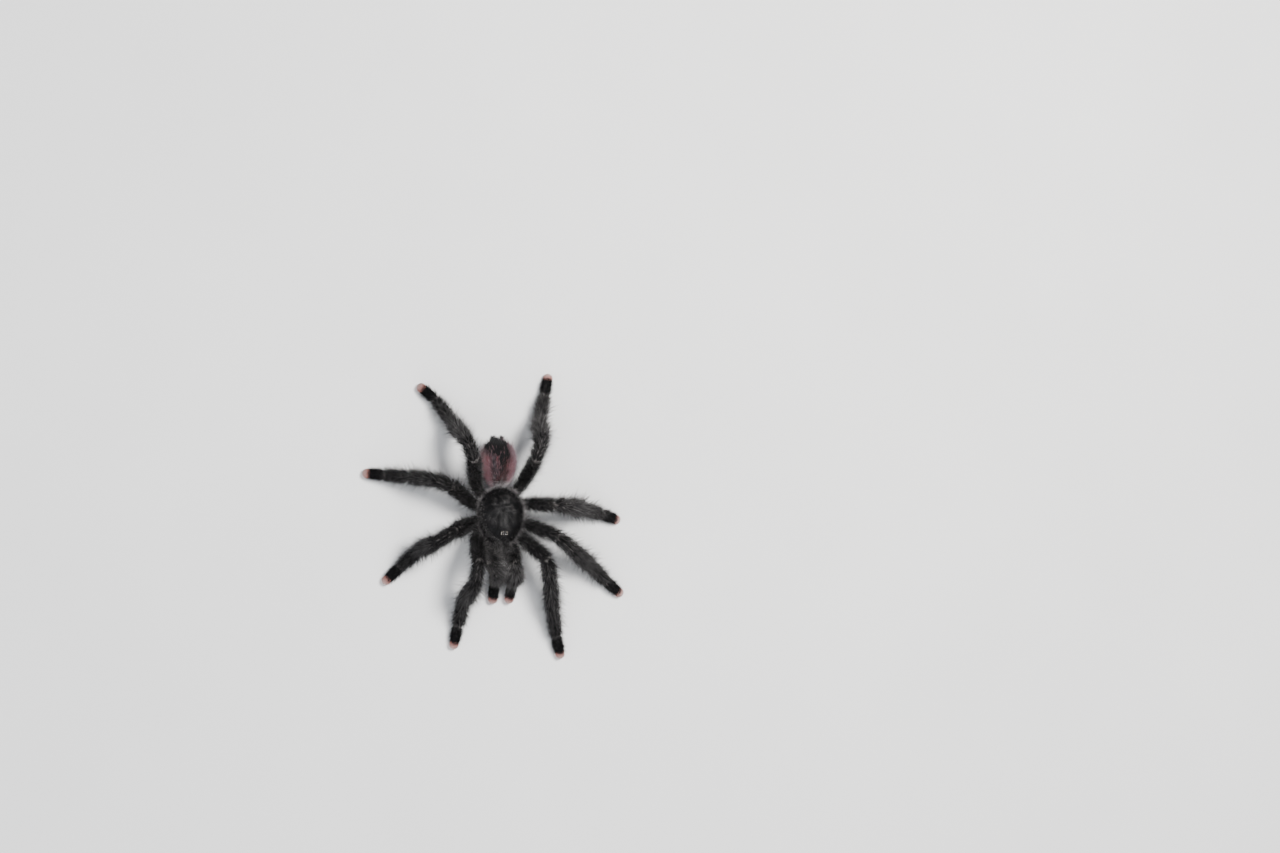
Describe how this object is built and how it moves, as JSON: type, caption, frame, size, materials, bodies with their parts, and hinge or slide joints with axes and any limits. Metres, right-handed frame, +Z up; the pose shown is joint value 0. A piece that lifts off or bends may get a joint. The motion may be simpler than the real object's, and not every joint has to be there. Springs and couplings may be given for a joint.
{
  "type": "pink toe tarantula",
  "caption": "Life-size still model of a pink toe tarantula, standing with its hairy legs spread, with pink-tipped feet and rose hair on the abdomen.",
  "frame": {"origin": "on the floor, below the middle of the bounding box", "axes": "+Z up from the floor; the head points along -Y and the animal's left side is +X"},
  "size_m": [0.1054, 0.1092, 0.0212],
  "materials": {
    "carapace": "Black cuticle with a fine nap of short grey hair, half glossy on the head and along the furrows.",
    "coat": "Charcoal-black coat of short dense hairs under long, pale grey-brown hairs, with paler rings at the leg joints.",
    "abdomen": "Long rose-red hair on the flanks, a black band along the back and a pale fringe.",
    "toe": "Dense, velvety salmon-pink pads of fine hair.",
    "lens": "Glossy black simple eyes on a low dark mound.",
    "fang": "Glossy near-black horn of the fangs."
  },
  "bodies": {
    "root": {"carapace": "carapace", "eyes": "lens", "sternum": "coat", "abdomen": "abdomen", "chelicera_left": "coat", "fang_left": "fang", "spinneret_left": "coat", "leg_left_1_femur": "coat", "leg_left_1_patella_tibia": "coat", "leg_left_1_metatarsus": "coat", "leg_left_1_tarsus": "coat", "leg_left_1_toe": "toe", "leg_left_2_femur": "coat", "leg_left_2_patella_tibia": "coat", "leg_left_2_metatarsus": "coat", "leg_left_2_tarsus": "coat", "leg_left_2_toe": "toe", "leg_left_3_femur": "coat", "leg_left_3_patella_tibia": "coat", "leg_left_3_metatarsus": "coat", "leg_left_3_tarsus": "coat", "leg_left_3_toe": "toe", "leg_left_4_femur": "coat", "leg_left_4_patella_tibia": "coat", "leg_left_4_metatarsus": "coat", "leg_left_4_tarsus": "coat", "leg_left_4_toe": "toe", "palp_left_femur": "coat", "palp_left_patella_tibia": "coat", "palp_left_tarsus": "coat", "palp_left_toe": "toe", "chelicera_right": "coat", "fang_right": "fang", "spinneret_right": "coat", "leg_right_1_femur": "coat", "leg_right_1_patella_tibia": "coat", "leg_right_1_metatarsus": "coat", "leg_right_1_tarsus": "coat", "leg_right_1_toe": "toe", "leg_right_2_femur": "coat", "leg_right_2_patella_tibia": "coat", "leg_right_2_metatarsus": "coat", "leg_right_2_tarsus": "coat", "leg_right_2_toe": "toe", "leg_right_3_femur": "coat", "leg_right_3_patella_tibia": "coat", "leg_right_3_metatarsus": "coat", "leg_right_3_tarsus": "coat", "leg_right_3_toe": "toe", "leg_right_4_femur": "coat", "leg_right_4_patella_tibia": "coat", "leg_right_4_metatarsus": "coat", "leg_right_4_tarsus": "coat", "leg_right_4_toe": "toe", "palp_right_femur": "coat", "palp_right_patella_tibia": "coat", "palp_right_tarsus": "coat", "palp_right_toe": "toe"}
  },
  "joints": []
}
